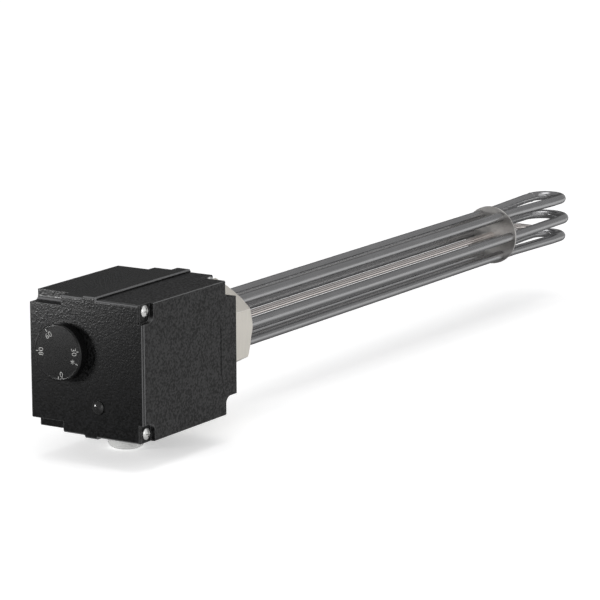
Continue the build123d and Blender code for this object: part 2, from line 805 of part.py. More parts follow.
# Hexagon fitting: collar, hexagon with turned corners, threaded plug and the holes for the tubes
with BuildPart() as hex_fitting:
    with BuildSketch(at_y(0)):
        RegularPolygon(hex_flats / 2, 6, major_radius=False, rotation=hex_turn - 30)
    extrude(amount=hex_length)
    with BuildSketch(Plane.XY):
        with BuildLine():
            reach = 0.6 * hex_flats
            Polyline(
                (hex_chamfer_radius, 0),
                (reach, 0),
                (reach, (hex_chamfer_radius - reach) * hex_chamfer_slope),
                close=True,
            )
        make_face()
    revolve(axis=Axis.Y, mode=Mode.SUBTRACT)
    with BuildSketch(at_y(collar_front)):
        Circle(collar_radius)
    extrude(amount=-(-hex_length - collar_front))
    with BuildSketch(at_y(0)):
        Circle(thread_radius)
    extrude(amount=-thread_length)
    chamfer(hex_fitting.faces().sort_by(Axis.Y)[-1].edges(), thread_bevel)
    with BuildSketch(at_y(collar_front)):
        Circle(chamber_radius)
    extrude(amount=-chamber_depth, mode=Mode.SUBTRACT)
    with BuildSketch(at_y(chamber_floor)):
        with Locations(*leg_places):
            Circle(tube_radius + slip_clearance)
        Circle(sensor_radius + slip_clearance)
    extrude(amount=-(thread_length - chamber_floor), mode=Mode.SUBTRACT)
    with BuildSketch(at_y(collar_front)):
        with Locations(*flange_places):
            Circle(flange_screw_radius + thread_clearance)
    extrude(amount=-(flange_screw_grip + flange_hole_end), mode=Mode.SUBTRACT)
save(hex_fitting, "hex_fitting")

# Gasket between the head and the collar
with BuildPart() as flange_gasket:
    with BuildSketch(at_y(head_back)):
        Circle(collar_radius)
        Circle(window_radius, mode=Mode.SUBTRACT)
        with Locations(*flange_places):
            Circle(flange_screw_radius + hole_clearance, mode=Mode.SUBTRACT)
    extrude(amount=-gasket_thickness)
save(flange_gasket, "flange_gasket")

# Flange screws from inside the head, one of them over the earth tag
with BuildPart() as flange_screws:
    for angle, (place_x, place_z) in zip(flange_screw_angles, flange_places):
        seat_y = boss_front - (tag_thickness if angle == earth_tag_angle else 0)
        form = pan_screw(
            flange_screw_head_radius,
            flange_screw_head_height,
            flange_screw_radius,
            collar_front + flange_screw_grip - boss_front,
        )
        with Locations(Plane(origin=(place_x, seat_y, place_z), x_dir=(1, 0, 0), z_dir=(0, -1, 0))):
            add(form, mode=Mode.ADD)
save(flange_screws, "flange_screws")

earth_place = flange_places[flange_screw_angles.index(earth_tag_angle)]
with BuildPart() as earth_tag:
    with BuildSketch(at_y(boss_front)):
        with Locations(earth_place):
            Circle(tag_radius)
            with Locations((0, -tag_reach / 2)):
                Rectangle(tag_neck, tag_reach)
            Circle(flange_screw_radius + hole_clearance, mode=Mode.SUBTRACT)
    extrude(amount=tag_thickness)
    with BuildSketch(Plane.XY.offset(earth_place[1] - tag_reach)):
        with Locations((earth_place[0], boss_front - barrel_radius)):
            Circle(barrel_radius)
    extrude(amount=barrel_length)
save(earth_tag, "earth_tag")


def hairpin(leg_x, height, bend_radius):
    """One sheath tube in the horizontal plane at the given height, its two ends bored for the seals."""
    with BuildPart() as tube:
        bend_y = tip_y - tube_radius - bend_radius
        with BuildLine(Plane.XY.offset(height)) as path:
            FilletPolyline(
                (-leg_x, leg_start),
                (-leg_x, splay_start),
                (-bend_radius, splay_end),
                (-bend_radius, bend_y),
                radius=splay_round,
            )
            CenterArc((0, bend_y), bend_radius, 180, -180)
            FilletPolyline(
                (bend_radius, bend_y),
                (bend_radius, splay_end),
                (leg_x, splay_start),
                (leg_x, leg_start),
                radius=splay_round,
            )
        with BuildSketch(at_y(leg_start)):
            with Locations((-leg_x, height)):
                Circle(tube_radius)
        sweep(path=path.wire())
        with BuildSketch(at_y(leg_start)):
            with Locations((-leg_x, height), (leg_x, height)):
                Circle(seal_radius)
        extrude(amount=-seal_depth, mode=Mode.SUBTRACT)
    return tube


hairpins = (
    ("element_top", *leg_places[1], side_bend_radius),
    ("element_middle", *leg_places[0], middle_bend_radius),
    ("element_bottom", *leg_places[5], side_bend_radius),
)
for name, leg_x, height, bend_radius in hairpins:
    save(hairpin(leg_x, height, bend_radius), name)

# Ceramic seals in the tube ends
with BuildPart() as end_seals:
    with BuildSketch(at_y(leg_start + seal_depth)):
        with Locations(*leg_places):
            Circle(seal_radius - slip_clearance)
    extrude(amount=seal_depth)
    with BuildSketch(at_y(leg_start)):
        with Locations(*leg_places):
            Circle(seal_flange_radius)
    extrude(amount=seal_flange)
    with BuildSketch(at_y(leg_start + seal_depth)):
        with Locations(*leg_places):
            Circle(stud_neck_radius + slip_clearance)
    extrude(amount=seal_depth + seal_flange, mode=Mode.SUBTRACT)
save(end_seals, "end_seals")

# Threaded studs, on a thin neck through each seal
stud_base = leg_start - seal_flange
with BuildPart() as terminal_studs:
    with BuildSketch(at_y(leg_start + seal_depth)):
        with Locations(*leg_places):
            Circle(stud_neck_radius)
    extrude(amount=seal_depth + seal_flange)
    with BuildSketch(at_y(stud_base)):
        with Locations(*leg_places):
            Circle(stud_radius)
    extrude(amount=stud_length)
save(terminal_studs, "terminal_studs")

# Two links, each joining the three studs of one side
link_back = stud_base - stud_nut_height
link_front = link_back - link_thickness
with BuildPart() as element_links:
    with BuildSketch(at_y(link_back)):
        Circle(tube_circle + link_width / 2)
        Circle(tube_circle - link_width / 2, mode=Mode.SUBTRACT)
        gap_half = tube_circle * cos(radians(60)) - link_width / 2
        Rectangle(2 * gap_half, 3 * tube_circle, mode=Mode.SUBTRACT)
        with Locations(*leg_places):
            Circle(stud_radius + thread_clearance, mode=Mode.SUBTRACT)
    extrude(amount=link_thickness)
save(element_links, "element_links")

# Ring tags under the outer nuts of two studs, one on each link: load above, neutral below
load_place = leg_places[2]
neutral_place = leg_places[5]
with BuildPart() as ring_tags:
    for (stud_x, stud_z), side in ((load_place, 1), (neutral_place, -1)):
        with BuildSketch(at_y(link_front)):
            with Locations((stud_x, stud_z)):
                Circle(tag_radius)
                with Locations((0, side * tag_reach / 2)):
                    Rectangle(tag_neck, tag_reach)
                Circle(stud_radius + thread_clearance, mode=Mode.SUBTRACT)
        extrude(amount=tag_thickness)
        with BuildSketch(Plane.XY.offset(stud_z + side * tag_reach)):
            with Locations((stud_x, link_front - barrel_radius)):
                Circle(barrel_radius)
        extrude(amount=-side * barrel_length)
save(ring_tags, "ring_tags")

stud_nut_form = hex_nut(stud_nut_flats, stud_nut_height, stud_radius + thread_clearance, nut_bevel)
with BuildPart() as stud_nuts:
    for outer in (False, True):
        for place_x, place_z in leg_places:
            tagged = outer and (place_x, place_z) in (load_place, neutral_place)
            seat_y = (link_front if outer else stud_base) - (tag_thickness if tagged else 0)
            with Locations(Plane(origin=(place_x, seat_y, place_z), x_dir=(1, 0, 0), z_dir=(0, -1, 0))):
                add(stud_nut_form)
save(stud_nuts, "stud_nuts")

# Spacer disc with holes for the six legs and the sensor tube
with BuildPart() as spacer_disc:
    with BuildSketch(at_y(disc_y)):
        Circle(disc_radius)
        with Locations(*leg_places):
            Circle(tube_radius + slip_clearance, mode=Mode.SUBTRACT)
        Circle(sensor_radius + slip_clearance, mode=Mode.SUBTRACT)
    extrude(amount=-disc_thickness)
save(spacer_disc, "spacer_disc")

# Sensor tube on the axis, its closed end bent down a little past the disc
with BuildPart() as sensor_pocket:
    with BuildLine(Plane.YZ) as sensor_path:
        bend = radians(sensor_bend_angle)
        FilletPolyline(
            (sensor_start, 0),
            (sensor_bend_y + sensor_bend_radius * sin(bend) / 2, 0),
            (sensor_bend_y + sensor_tail * cos(bend), -sensor_tail * sin(bend)),
            radius=sensor_bend_radius,
        )
    with BuildSketch(at_y(sensor_start)):
        Circle(sensor_radius)
    sweep(path=sensor_path.wire())
    with BuildSketch(at_y(sensor_start)):
        Circle(sensor_radius - sensor_wall)
    extrude(amount=-(sensor_bend_y - sensor_start), mode=Mode.SUBTRACT)
save(sensor_pocket, "sensor_pocket")

# Sensing bulb in the tube, and its capillary back to the thermostat
with BuildPart() as sensor_bulb:
    bulb_start = bulb_end_y - bulb_length
    capillary_end = thermostat_back
    with BuildSketch(at_y(bulb_start)):
        Circle(bulb_radius)
    extrude(amount=-bulb_length)
    with BuildLine() as capillary_path:
        FilletPolyline(
            (0, bulb_start, 0),
            (0, capillary_rise_y, 0),
            (knob_x, capillary_rise_y - capillary_turn, knob_z - capillary_drop),
            (knob_x, capillary_end, knob_z - capillary_drop),
            radius=capillary_bend,
        )
    with BuildSketch(at_y(bulb_start)):
        Circle(capillary_radius)
    sweep(path=capillary_path.wire())
save(sensor_bulb, "sensor_bulb")

# Terminal block with three poles across it, clamp screws on top and one fixing screw
block_bottom = inner_bottom + block_pad
pole_places = [block_y + (i - (block_poles - 1) / 2) * block_pitch for i in range(block_poles)]
with BuildPart() as terminal_block:
    with BuildSketch(Plane.XY.offset(block_bottom)):
        with Locations((block_x, block_y)):
            Rectangle(block_width, block_length)
    extrude(amount=block_height)
    chamfer(terminal_block.faces().sort_by(Axis.Z)[-1].edges(), block_bevel)
    with BuildSketch(Plane.YZ.offset(block_x - block_width / 2)):
        with Locations(*[(y, block_bottom + block_wire_rise) for y in pole_places]):
            Circle(block_wire_radius)
    extrude(amount=block_width, mode=Mode.SUBTRACT)
    with BuildSketch(Plane.XY.offset(block_bottom + block_height)):
        with Locations(*[(block_x + block_well_offset, y) for y in pole_places]):
            Circle(block_well_radius)
    extrude(amount=-block_well_depth, mode=Mode.SUBTRACT)
    with BuildSketch(Plane.XY.offset(block_bottom + block_height)):
        with Locations((block_x + block_fixing_offset, block_y - block_pitch / 2)):
            Circle(block_fixing_radius + hole_clearance)
    extrude(amount=-block_height, mode=Mode.SUBTRACT)
save(terminal_block, "terminal_block")

clamp_form = pan_screw(
    block_well_radius - hole_clearance, clamp_head_height, clamp_screw_radius, clamp_screw_length
)
with BuildPart() as clamp_screws:
    clamp_seat = block_bottom + block_wire_rise + block_wire_radius
    with Locations(*[(block_x + block_well_offset, y, clamp_seat) for y in pole_places]):
        add(clamp_form)
save(clamp_screws, "clamp_screws")

block_screw_form = pan_screw(
    small_head_radius, small_head_height, block_fixing_radius, block_height + block_pad
)
with BuildPart() as block_screw:
    with Locations((block_x + block_fixing_offset, block_y - block_pitch / 2, block_bottom + block_height)):
        add(block_screw_form)
save(block_screw, "block_screw")


def wire(points, radius, bend):
    """A wire along straight runs with rounded corners; its first run leaves squarely from its start."""
    first = Vector(*points[1]) - Vector(*points[0])
    with BuildPart() as strand:
        with BuildLine() as route:
            FilletPolyline(*points, radius=bend)
        with BuildSketch(Plane(origin=points[0], z_dir=first)):
            Circle(radius)
        sweep(path=route.wire())
    return strand.part


# Wires from the terminal block, up to its clamp screws, and between the inner terminals
wire_end_x = block_x + block_well_offset + clamp_screw_radius + slip_clearance
riser_x = block_x + block_width / 2 + riser_gap
wire_low = block_bottom + block_wire_rise - block_wire_radius + wire_radius + slip_clearance
wire_high = block_bottom + block_wire_rise + block_wire_radius - lead_radius - slip_clearance
line_blade, load_blade = blade_places
turn_y = push_on_back + wire_run
tag_wire_y = link_front - barrel_radius
load_x, load_z = load_place
neutral_x, neutral_z = neutral_place
load_top = load_z + tag_reach
neutral_bottom = neutral_z - tag_reach
earth_x = earth_place[0]
earth_wire_y = boss_front - barrel_radius

line_route = (
    (wire_end_x, pole_places[0], wire_low),
    (riser_x, pole_places[0], wire_low),
    (line_blade[0], turn_y, line_blade[1]),
    (line_blade[0], push_on_back, line_blade[1]),
)
line_form = wire(line_route, wire_radius, wire_bend)
with BuildPart() as line_wire:
    add(line_form)
save(line_wire, "line_wire")

load_route = (
    (load_blade[0] + load_offset, push_on_back, load_blade[1]),
    (load_blade[0] + load_offset, turn_y, load_blade[1]),
    (load_x, tag_wire_y - 2 * tag_drop, load_top + tag_drop),
    (load_x, tag_wire_y, load_top + tag_drop),
    (load_x, tag_wire_y, load_top),
)
load_form = wire(load_route, wire_radius, wire_bend)
with BuildPart() as load_wire:
    add(load_form)
save(load_wire, "load_wire")

neutral_route = (
    (wire_end_x, pole_places[1], wire_low),
    (riser_x, pole_places[1], wire_low),
    (neutral_x, tag_wire_y - 2 * tag_drop, neutral_bottom - tag_drop),
    (neutral_x, tag_wire_y, neutral_bottom - tag_drop),
    (neutral_x, tag_wire_y, neutral_bottom),
)
neutral_form = wire(neutral_route, wire_radius, wire_bend)
with BuildPart() as neutral_wire:
    add(neutral_form)
save(neutral_wire, "neutral_wire")

earth_route = (
    (wire_end_x, pole_places[2], wire_low),
    (riser_x, pole_places[2], wire_low),
    (earth_x, earth_wire_y, wire_low),
    (earth_x, earth_wire_y, earth_place[1] - tag_reach),
)
earth_form = wire(earth_route, wire_radius, wire_bend)
with BuildPart() as earth_wire:
    add(earth_form)
save(earth_wire, "earth_wire")

# Lamp leads: one to the load terminal, one to the neutral pole
lamp_back = stem_end + lamp_plug_length + blade_length
lamp_turn = lamp_back + wire_run
lamp_left = lamp_x - lamp_blade_pitch / 2
lamp_right = lamp_x + lamp_blade_pitch / 2
switched_route = (
    (lamp_left, lamp_back, lamp_z),
    (lamp_left, lamp_turn, lamp_z),
    (load_blade[0] + lead_offset, turn_y + tag_drop, load_blade[1]),
    (load_blade[0] + lead_offset, push_on_back, load_blade[1]),
)
return_route = (
    (lamp_right, lamp_back, lamp_z),
    (lamp_right, lamp_turn, lamp_z),
    (gland_x, gland_y - gland_thread_radius, wire_high),
    (riser_x, pole_places[1], wire_high),
    (wire_end_x, pole_places[1], wire_high),
)
switched_form = wire(switched_route, lead_radius, lead_bend)
return_form = wire(return_route, lead_radius, lead_bend)
with BuildPart() as lamp_leads:
    add(switched_form)
    add(return_form)
save(lamp_leads, "lamp_leads")
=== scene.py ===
"""Looks of the screw-in immersion heater: finishes, dial print, collars, thread, studio and camera.

Everything is in metres in the heater's own frame: the origin is the centre of the fitting's sealing
face, +Y runs along the tubes away from the head, +Z is up, and the dial looks along -Y.
"""

import json
from math import cos, pi, radians, sin, sqrt

import bpy
from mathutils import Matrix, Vector


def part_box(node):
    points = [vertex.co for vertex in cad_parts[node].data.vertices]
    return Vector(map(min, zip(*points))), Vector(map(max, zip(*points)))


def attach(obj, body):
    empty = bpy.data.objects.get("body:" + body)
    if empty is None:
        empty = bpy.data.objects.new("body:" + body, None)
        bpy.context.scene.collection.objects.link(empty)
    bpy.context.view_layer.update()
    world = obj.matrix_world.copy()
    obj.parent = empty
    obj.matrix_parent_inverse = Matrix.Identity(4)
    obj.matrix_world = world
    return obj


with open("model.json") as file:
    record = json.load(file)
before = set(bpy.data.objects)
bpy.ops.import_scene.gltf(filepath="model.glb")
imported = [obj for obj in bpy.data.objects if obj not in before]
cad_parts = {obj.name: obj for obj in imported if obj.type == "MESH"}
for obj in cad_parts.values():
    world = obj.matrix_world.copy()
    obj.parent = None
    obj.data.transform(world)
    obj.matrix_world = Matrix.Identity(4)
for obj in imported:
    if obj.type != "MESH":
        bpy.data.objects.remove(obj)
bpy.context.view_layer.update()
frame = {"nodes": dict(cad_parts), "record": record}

MM = 0.001
WHITE = (1.0, 1.0, 1.0, 1.0)
BLACK = (0.0, 0.0, 0.0, 1.0)

# Places read from the frame
knob_low, knob_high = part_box("knob")
fitting_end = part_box("hex_fitting")[1].y
gland_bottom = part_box("gland_nut")[0].z
cover_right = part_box("cover")[1].x
sensor_low, sensor_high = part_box("sensor_pocket")
sensor_radius = (sensor_high.x - sensor_low.x) / 2
top_tube_low, top_tube_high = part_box("element_top")
tube_radius = (top_tube_high.z - top_tube_low.z) / 2
thread_mount = next(mount for mount in frame["record"]["mounts"] if mount["name"] == "thread")
plug_radius = thread_mount["dims"]["r_mm"] * MM

# The six legs stand evenly on a circle, and the top hairpin's are the second and the third
leg_count = 6
leg_step = 360 / leg_count               # degrees
leg_circle = (top_tube_high.z + top_tube_low.z) / 2 / sin(radians(leg_step))

# Dial figures: text, its angle and its tick's angle, clockwise from the top in degrees, and its radius
dial_figures = (
    ("60", -32.0, -32.0, 13.2 * MM),
    ("80", -92.0, -91.0, 13.4 * MM),
    ("30", 81.5, 81.5, 13.6 * MM),
    ("0", 168.5, 178.5, 14.6 * MM),
)
dial_recess = 0.15 * MM
dial_middle = (knob_low + knob_high) / 2
dial_middle.y = knob_low.y + dial_recess
figure_height = 4.1 * MM
figure_size = 1.38 * figure_height       # the typeface's size, which is more than its figures' height
figure_spacing = 1.04
figure_thinning = -0.07 * MM
tick_inner = 16.0 * MM
tick_outer = 18.0 * MM
tick_width = 0.5 * MM
frost_angle = 111.5                      # the frost mark is a small star beside its own tick
frost_radius = 13.4 * MM
frost_arms = 3
frost_arm_reach = 1.7 * MM
frost_arm_width = 0.38 * MM
print_thickness = 0.05 * MM
print_bevel = 0.012 * MM

# Collars brazed around the tubes, and rings where a hairpin's bend begins
ring_steps = 40
ring_smooth_angle = radians(40)
collar_section = 0.75 * MM
collar_section_steps = 14
collar_offset = 0.35 * MM                # its section's middle stands off the tube
joint_section = 0.42 * MM
joint_section_steps = 12
joint_sink = 0.12 * MM                   # its section's middle lies under the tube's skin
joint_half_width = 0.3 * MM
bend_start = 484.0 * MM
cut_threshold = 0.001 * MM

# Thread of the plug: a low ridge whose foot is sunk into the plain cylinder
thread_pitch = 2.309 * MM
thread_turns = 3.7
thread_start = 1.1 * MM
thread_crest = 0.28 * MM
thread_sink = 0.06 * MM
thread_foot = 0.8 * thread_pitch
thread_steps = 72                        # for each turn
thread_smooth_angle = radians(30)

# Upright line that a mould insert left on the cover's right side
witness_y = -62.7 * MM
witness_middle = -1.1 * MM
witness_reach = 18.5 * MM
witness_fade = 2 * MM
witness_width = (0.35 * MM, 0.75 * MM)   # half its width, where it is full and where it ends
witness_strength = 0.8
witness_colour = (0.001, 0.001, 0.001, 1.0)

# Painted edge highlights, edge polish and bumps of the finishes
plastic_edge_strength = 3.5
plastic_edge_polish = 0.15
plastic_bump = 0.6
metal_edge_strength = 8.0
metal_bump = 0.5
thin_edge = 0.0003

# Floor: for whatever mirrors it, painted light on the right and painted shade on the left, apart from a
# lighter painted patch far left
floor_size = 30.0
floor_colour = (0.86, 0.86, 0.86, 1.0)
floor_roughness = 0.9
floor_bounce = 0.30                      # glow that lights the object
floor_shown = (0.45, 0.75)               # glow that the camera sees, near the object and far away
floor_shown_distance = (0.5, 2.0)
floor_painted_shade_and_light = (0.16, 0.90)            # painted glow in mirrors: painted shade on the left and painted light on the right
floor_painted_light_x = (0.01, 0.10)
floor_patch = 0.55                       # how far the painted patch goes from painted shade to painted light
floor_patch_x = (-0.20, -0.11)
floor_patch_y = (0.05, 0.15)

# Sky: soft grey, lighter towards the horizon, with a dark screen low on the left
sky_zenith = (0.34, 0.34, 0.345, 1.0)
sky_horizon = (0.42, 0.42, 0.42, 1.0)
sky_height = 0.9                         # upward part of the direction where the zenith's colour begins
sky_screen = (0.12, 0.12, 0.12, 1.0)
sky_screen_x = (-0.45, -0.25)
sky_screen_z = (0.30, 0.50)

# Camera: the photograph's viewing angle, with a long lens
camera_azimuth = radians(32.595)
camera_elevation = radians(11.932)
camera_roll = radians(-0.287)
camera_target = Vector((54.0, 25.6, 19.1)) * MM
camera_distance = 2354.45 * MM
camera_lens = 201.26
camera_nearest = 0.01
camera_farthest = 100.0


def deselect_all():
    """Nothing stays selected, so an operator acts only on what is made next."""
    if bpy.context.object and bpy.context.object.mode != "OBJECT":
        bpy.ops.object.mode_set(mode="OBJECT")
    bpy.ops.object.select_all(action="DESELECT")


def make_active(piece):
    """Selects one piece alone."""
    deselect_all()
    piece.select_set(True)
    bpy.context.view_layer.objects.active = piece


def place_into_mesh():
    """Puts the active piece's place, turn and size into its mesh."""
    bpy.ops.object.transform_apply(location=True, rotation=True, scale=True)


def edit_whole_mesh():
    """Opens the active piece for editing, with everything on it selected."""
    bpy.ops.object.mode_set(mode="EDIT")
    bpy.ops.mesh.select_all(action="SELECT")


def settle(piece, name, body, finish):
    """Names a finished piece and gives it its place, its finish and the body that it rides on."""
    make_active(piece)
    place_into_mesh()
    piece.name = name
    piece.data.name = name
    piece.data.materials.clear()
    piece.data.materials.append(finish)
    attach(piece, body)
    return piece


def feed(tree, socket, value):
    """Gives a socket a plain value, or links another node's socket to it."""
    if isinstance(value, bpy.types.NodeSocket):
        tree.links.new(value, socket)
    else:
        socket.default_value = value


def add_node(tree, kind, settings=None, **inputs):
    """Adds a shader node. An input is a plain value or another node's socket."""
    made = tree.nodes.new(kind)
    for key, value in (settings or {}).items():
        setattr(made, key, value)
    for key, value in inputs.items():
        feed(tree, made.inputs[key.replace("_", " ")], value)
    return made


def calculate(tree, operation, first, second=0.0):
    """A Math node's result."""
    made = add_node(tree, "ShaderNodeMath", {"operation": operation})
    feed(tree, made.inputs[0], first)
    feed(tree, made.inputs[1], second)
    return made.outputs[0]


def blend_colours(tree, amount, first, second, blend_type="MIX"):
    """A colour between two others. A Mix node's colours are its inputs 6 and 7 and its output 2."""
    made = add_node(tree, "ShaderNodeMix", {"data_type": "RGBA", "blend_type": blend_type})
    feed(tree, made.inputs[0], amount)
    feed(tree, made.inputs[6], first)
    feed(tree, made.inputs[7], second)
    return made.outputs[2]


def spread(tree, value, source, target):
    """Maps a value from one range to another and holds it inside."""
    made = add_node(tree, "ShaderNodeMapRange", Value=value)
    for side, low_or_high in enumerate(("Min", "Max")):
        feed(tree, made.inputs[f"From {low_or_high}"], source[side])
        feed(tree, made.inputs[f"To {low_or_high}"], target[side])
    return made.outputs["Result"]


def object_place(tree):
    """Where a point lies on the object."""
    return add_node(tree, "ShaderNodeTexCoord").outputs["Object"]


def split(tree, vector):
    """A vector's X, Y and Z."""
    return add_node(tree, "ShaderNodeSeparateXYZ", Vector=vector).outputs


def noise(tree, place, scale, detail, roughness=0.5):
    """A noise pattern, from 0 to 1."""
    made = add_node(
        tree, "ShaderNodeTexNoise", Vector=place, Scale=scale, Detail=detail, Roughness=roughness
    )
    return made.outputs["Fac"]


def mix_patterns(tree, first, second, share):
    """The first pattern's share and the rest of the second."""
    return calculate(
        tree,
        "ADD",
        calculate(tree, "MULTIPLY", first, share),
        calculate(tree, "MULTIPLY", second, 1.0 - share),
    )


def new_group(name, inputs, outputs):
    """An empty shader node group with the given sockets, its given values and its results."""
    tree = bpy.data.node_groups.new(name, "ShaderNodeTree")
    for label, kind, value in inputs:
        socket = tree.interface.new_socket(label, in_out="INPUT", socket_type=kind)
        socket.default_value = value
    for label, kind in outputs:
        tree.interface.new_socket(label, in_out="OUTPUT", socket_type=kind)
    return tree, tree.nodes.new("NodeGroupInput").outputs, tree.nodes.new("NodeGroupOutput").inputs


surface_outputs = (
    ("Colour", "NodeSocketColor"),
    ("Roughness", "NodeSocketFloat"),
    ("Height", "NodeSocketFloat"),
)


def vary_surface(tree, given, out, pattern, pattern_range, gloss_range):
    """Lets a pattern vary a surface group's colour, by its Contrast, and its roughness."""
    darkest = calculate(tree, "SUBTRACT", 1.0, given["Contrast"])
    lightest = calculate(tree, "ADD", 1.0, given["Contrast"])
    shade = spread(tree, pattern, pattern_range, (darkest, lightest))
    grey = add_node(tree, "ShaderNodeCombineColor", Red=shade, Green=shade, Blue=shade).outputs["Color"]
    tree.links.new(blend_colours(tree, 1.0, given["Colour"], grey, "MULTIPLY"), out["Colour"])
    uneven = spread(tree, pattern, pattern_range, gloss_range)
    tree.links.new(calculate(tree, "ADD", given["Roughness"], uneven), out["Roughness"])


def moulded_skin_group():
    """Eroded mould texture: speckled colour, uneven gloss and a fine pebbled height."""
    tree, given, out = new_group(
        "moulded_skin",
        (
            ("Colour", "NodeSocketColor", (0.03, 0.03, 0.03, 1.0)),
            ("Grain Scale", "NodeSocketFloat", 1300.0),
            ("Contrast", "NodeSocketFloat", 0.2),
            ("Roughness", "NodeSocketFloat", 0.5),
        ),
        surface_outputs,
    )
    place = object_place(tree)
    grain = noise(tree, place, scale=given["Grain Scale"], detail=1.5)
    blotch = noise(tree, place, scale=38.0, detail=2.0)
    pattern = mix_patterns(tree, grain, blotch, share=0.9)
    vary_surface(tree, given, out, pattern, pattern_range=(0.40, 0.60), gloss_range=(0.08, -0.08))
    tree.links.new(grain, out["Height"])
    return tree


def edge_line_group():
    """Where an edge turns: a mask of its width, and the normal of a softly rounded edge.

    Corner adds the modelled rounds of a square box, whose faces lie along the axes. The finishes paint their
    edge highlight by this mask.
    """
    tree, given, out = new_group(
        "edge_line",
        (
            ("Width", "NodeSocketFloat", 0.0006),
            ("Strength", "NodeSocketFloat", 3.0),
            ("Corner", "NodeSocketFloat", 0.0),
        ),
        (("Mask", "NodeSocketFloat"), ("Normal", "NodeSocketVector")),
    )
    rounded = add_node(tree, "ShaderNodeBevel", {"samples": 6}, Radius=given["Width"]).outputs["Normal"]
    flat = add_node(tree, "ShaderNodeNewGeometry").outputs["Normal"]
    likeness = add_node(tree, "ShaderNodeVectorMath", {"operation": "DOT_PRODUCT"})
    tree.links.new(rounded, likeness.inputs[0])
    tree.links.new(flat, likeness.inputs[1])
    turned = calculate(tree, "SUBTRACT", 1.0, likeness.outputs["Value"])
    edge = calculate(tree, "MULTIPLY", turned, given["Strength"])
    facing = split(tree, flat)
    squareness = calculate(tree, "ABSOLUTE", facing["X"])
    for axis in ("Y", "Z"):
        squareness = calculate(tree, "MAXIMUM", squareness, calculate(tree, "ABSOLUTE", facing[axis]))
    slanted = spread(tree, squareness, (0.80, 0.985), (1.0, 0.0))
    corner = calculate(tree, "MULTIPLY", slanted, given["Corner"])
    tree.links.new(calculate(tree, "MINIMUM", calculate(tree, "ADD", edge, corner), 1.0), out["Mask"])
    tree.links.new(rounded, out["Normal"])
    return tree


def drawn_metal_group():
    """Drawn or turned metal: streaks along one direction, cloudy oxide and an uneven gloss."""
    tree, given, out = new_group(
        "drawn_metal",
        (
            ("Colour", "NodeSocketColor", (0.4, 0.4, 0.4, 1.0)),
            ("Stretch", "NodeSocketVector", (900.0, 12.0, 900.0)),
            ("Contrast", "NodeSocketFloat", 0.1),
            ("Roughness", "NodeSocketFloat", 0.3),
        ),
        surface_outputs,
    )
    place = object_place(tree)
    stretched = add_node(
        tree, "ShaderNodeMapping", {"vector_type": "POINT"}, Vector=place, Scale=given["Stretch"]
    ).outputs["Vector"]
    streak = noise(tree, stretched, scale=1.0, detail=4.0, roughness=0.65)
    cloud = noise(tree, place, scale=45.0, detail=3.0)
    pattern = mix_patterns(tree, streak, cloud, share=0.6)
    vary_surface(tree, given, out, pattern, pattern_range=(0.38, 0.62), gloss_range=(-0.06, 0.06))
    tree.links.new(streak, out["Height"])
    return tree


moulded_skin = moulded_skin_group()
edge_line = edge_line_group()
drawn_metal = drawn_metal_group()


def new_finish(name):
    """A new material: itself, its tree and its Principled BSDF."""
    made = bpy.data.materials.new(name)
    made.use_nodes = True
    return made, made.node_tree, made.node_tree.nodes["Principled BSDF"]


def use_group(tree, group, **inputs):
    """Places a node group in a material with the material's own values."""
    return add_node(tree, "ShaderNodeGroup", {"node_tree": group}, **inputs).outputs


def plastic(
    name, colour, grain_scale, contrast, roughness, grain_depth, specular, painted_highlight_colour, edge_width, corner=0.0
):
    """Moulded plastic with its mould texture, slightly polished edges and a painted highlight along its
    edges.
    """
    made, tree, shader = new_finish(name)
    surface = use_group(
        tree,
        moulded_skin,
        Colour=(*colour, 1.0),
        Grain_Scale=grain_scale,
        Contrast=contrast,
        Roughness=roughness,
    )
    edge = use_group(tree, edge_line, Width=edge_width, Strength=plastic_edge_strength, Corner=corner)
    # Painted highlight: the edge mask lightens the colour towards the painted highlight colour
    tree.links.new(
        blend_colours(tree, edge["Mask"], surface["Colour"], (*painted_highlight_colour, 1.0)), shader.inputs["Base Color"]
    )
    polish = calculate(tree, "MULTIPLY", edge["Mask"], plastic_edge_polish)
    tree.links.new(calculate(tree, "SUBTRACT", surface["Roughness"], polish), shader.inputs["Roughness"])
    bump = add_node(
        tree,
        "ShaderNodeBump",
        Strength=plastic_bump,
        Distance=grain_depth,
        Height=surface["Height"],
        Normal=edge["Normal"],
    )
    tree.links.new(bump.outputs["Normal"], shader.inputs["Normal"])
    shader.inputs["Specular IOR Level"].default_value = specular
    return made


def metal(name, colour, stretch, contrast, roughness, grain_depth, painted_highlight_colour, edge_width, metallic=1.0):
    """Plated or drawn metal with its streaks and a painted highlight along its edges. Only a wide edge is
    rounded too.
    """
    made, tree, shader = new_finish(name)
    surface = use_group(
        tree, drawn_metal, Colour=(*colour, 1.0), Stretch=stretch, Contrast=contrast, Roughness=roughness
    )
    edge = use_group(tree, edge_line, Width=edge_width, Strength=metal_edge_strength)
    # Painted highlight: the edge mask lightens the colour towards the painted highlight colour
    tree.links.new(
        blend_colours(tree, edge["Mask"], surface["Colour"], (*painted_highlight_colour, 1.0)), shader.inputs["Base Color"]
    )
    tree.links.new(surface["Roughness"], shader.inputs["Roughness"])
    bump = add_node(
        tree, "ShaderNodeBump", Strength=metal_bump, Distance=grain_depth, Height=surface["Height"]
    )
    if edge_width > thin_edge:
        tree.links.new(edge["Normal"], bump.inputs["Normal"])
    tree.links.new(bump.outputs["Normal"], shader.inputs["Normal"])
    shader.inputs["Metallic"].default_value = metallic
    return made


